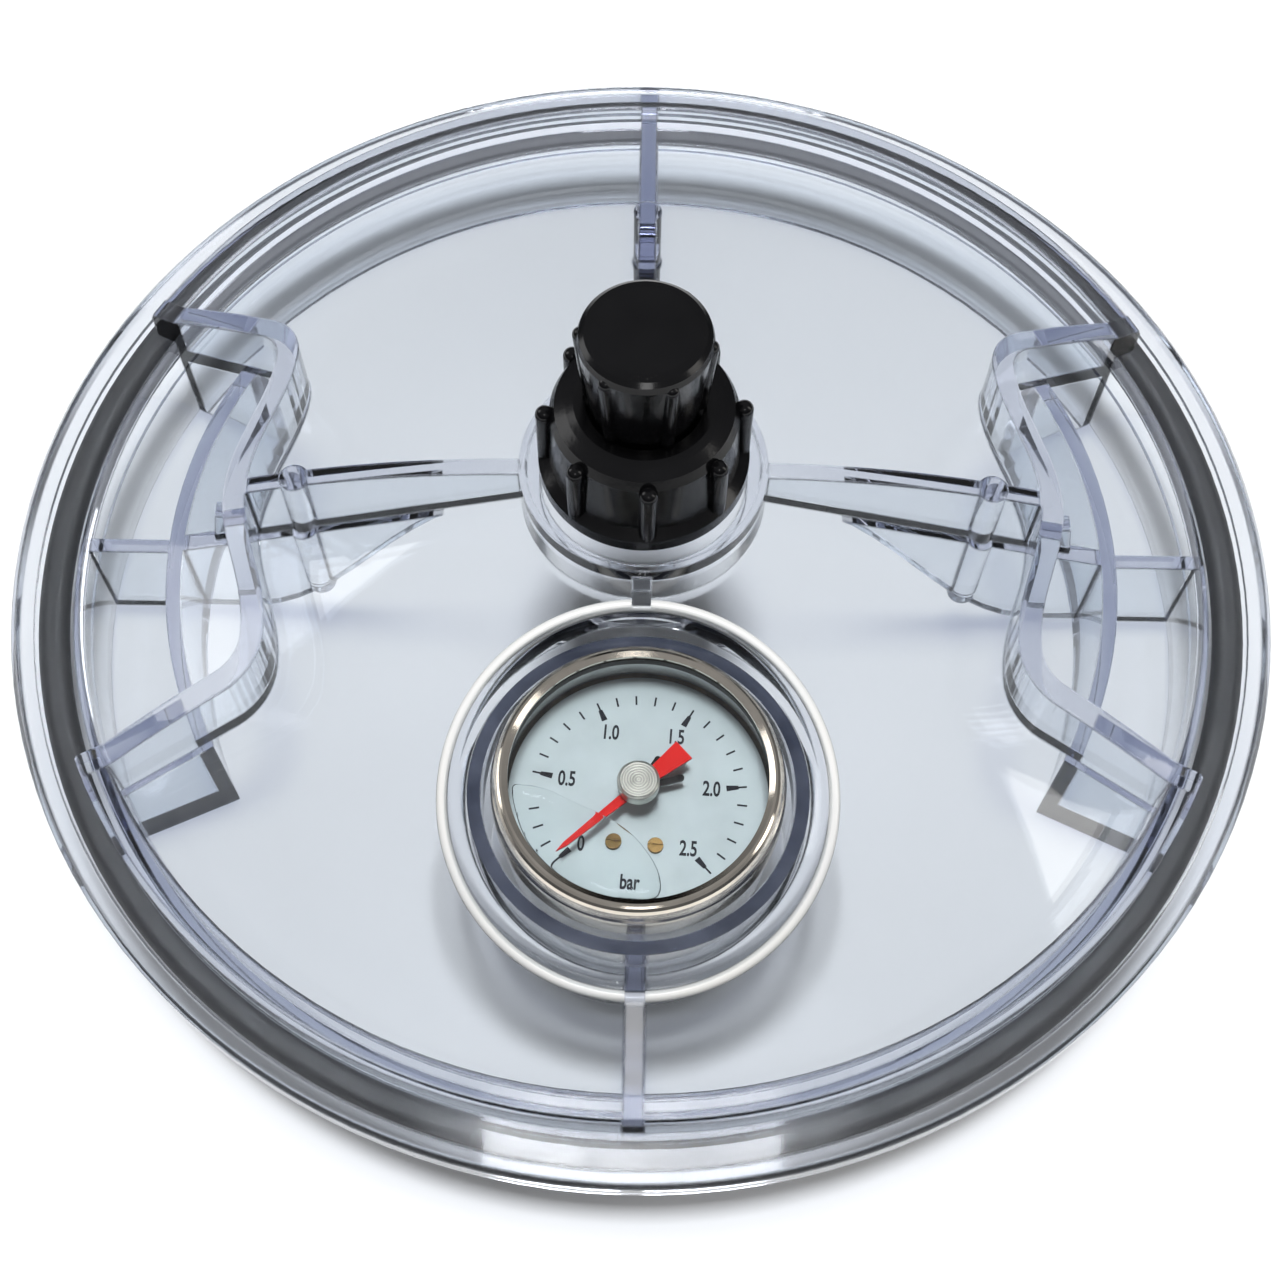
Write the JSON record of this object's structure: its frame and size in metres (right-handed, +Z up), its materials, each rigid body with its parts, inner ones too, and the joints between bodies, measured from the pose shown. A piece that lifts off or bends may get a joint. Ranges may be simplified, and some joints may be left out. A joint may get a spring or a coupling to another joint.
{
  "type": "clear filter lid with bleed valve and pressure gauge",
  "caption": "Round clear lid of a pool filter: ribbed crown with side grip pockets, black screw-down air bleed valve and a round pressure gauge in a well.",
  "frame": {"origin": "on the lid's axis at the foot of the spigot, the plane it stands on", "axes": "+Z up through the bleed valve, -Y towards the gauge, X across the two grip pockets"},
  "size_m": [0.25, 0.25, 0.1],
  "materials": {
    "clear_plastic": "clear moulded, glossy",
    "black_plastic": "moulded, semi-gloss",
    "black_rubber": "moulded rubber",
    "stainless": "drawn and turned",
    "polished_steel": "polished",
    "window_plastic": "clear window",
    "dial_white": "matt printed",
    "brass": "turned and stamped",
    "pointer_red": "painted"
  },
  "bodies": {
    "lid_body": {"lid": "clear_plastic", "lid_gasket": "black_rubber", "valve_body": "black_plastic", "valve_gasket": "black_rubber", "union_nut": "black_plastic", "gauge_case": "stainless", "gauge_bezel": "polished_steel", "gauge_window": "window_plastic", "window_seal": "black_rubber", "filling_plug": "black_rubber", "gauge_dial": "dial_white", "dial_screws": "brass", "gauge_socket": "brass", "socket_washer": "black_rubber", "bourdon_tube": "brass", "tube_tip": "brass", "movement_base_plate": "brass", "movement_top_plate": "brass", "movement_pillars": "brass"},
    "vent_slider": {"vent_plug": "black_rubber", "vent_plug_o_ring": "black_rubber"},
    "cap": {"bleed_cap": "black_plastic"},
    "spindle": {"pointer": "pointer_red", "pointer_hub": "stainless", "pointer_arbor": "brass"},
    "sector": {"sector_gear": "brass"},
    "link": {"sector_link": "brass"}
  },
  "joints": [
    {"name": "cap_lift", "type": "slide", "parent": "lid_body", "child": "vent_slider", "axis": [0, 0, 1], "range_m": [0, 0.0046]},
    {"name": "cap_turn", "type": "hinge", "parent": "vent_slider", "child": "cap", "pos_m": [0, 0, 0.09], "axis": [0, 0, 1], "range_deg": [0, 540]},
    {"name": "pointer_turn", "type": "hinge", "parent": "lid_body", "child": "spindle", "pos_m": [0, -0.0585, 0.0405], "axis": [0, 0, -1], "range_deg": [0, 270], "stiffness_Nm_per_rad": 0.00001},
    {"name": "sector_turn", "type": "hinge", "parent": "lid_body", "child": "sector", "pos_m": [-0.00081, -0.07168, 0.0347], "axis": [0, 0, 1], "range_deg": [-0.1, 27.1]},
    {"name": "link_turn", "type": "hinge", "parent": "sector", "child": "link", "pos_m": [-0.00679, -0.07131, 0.0356], "axis": [0, 0, 1], "range_deg": [-27.1, 0.1]}
  ],
  "couplings": [
    {"joint": "cap_lift", "follows": "cap_turn", "m_per_rad": 0.00047746},
    {"joint": "sector_turn", "follows": "pointer_turn", "ratio": 0.1},
    {"joint": "link_turn", "follows": "pointer_turn", "ratio": -0.1}
  ]
}
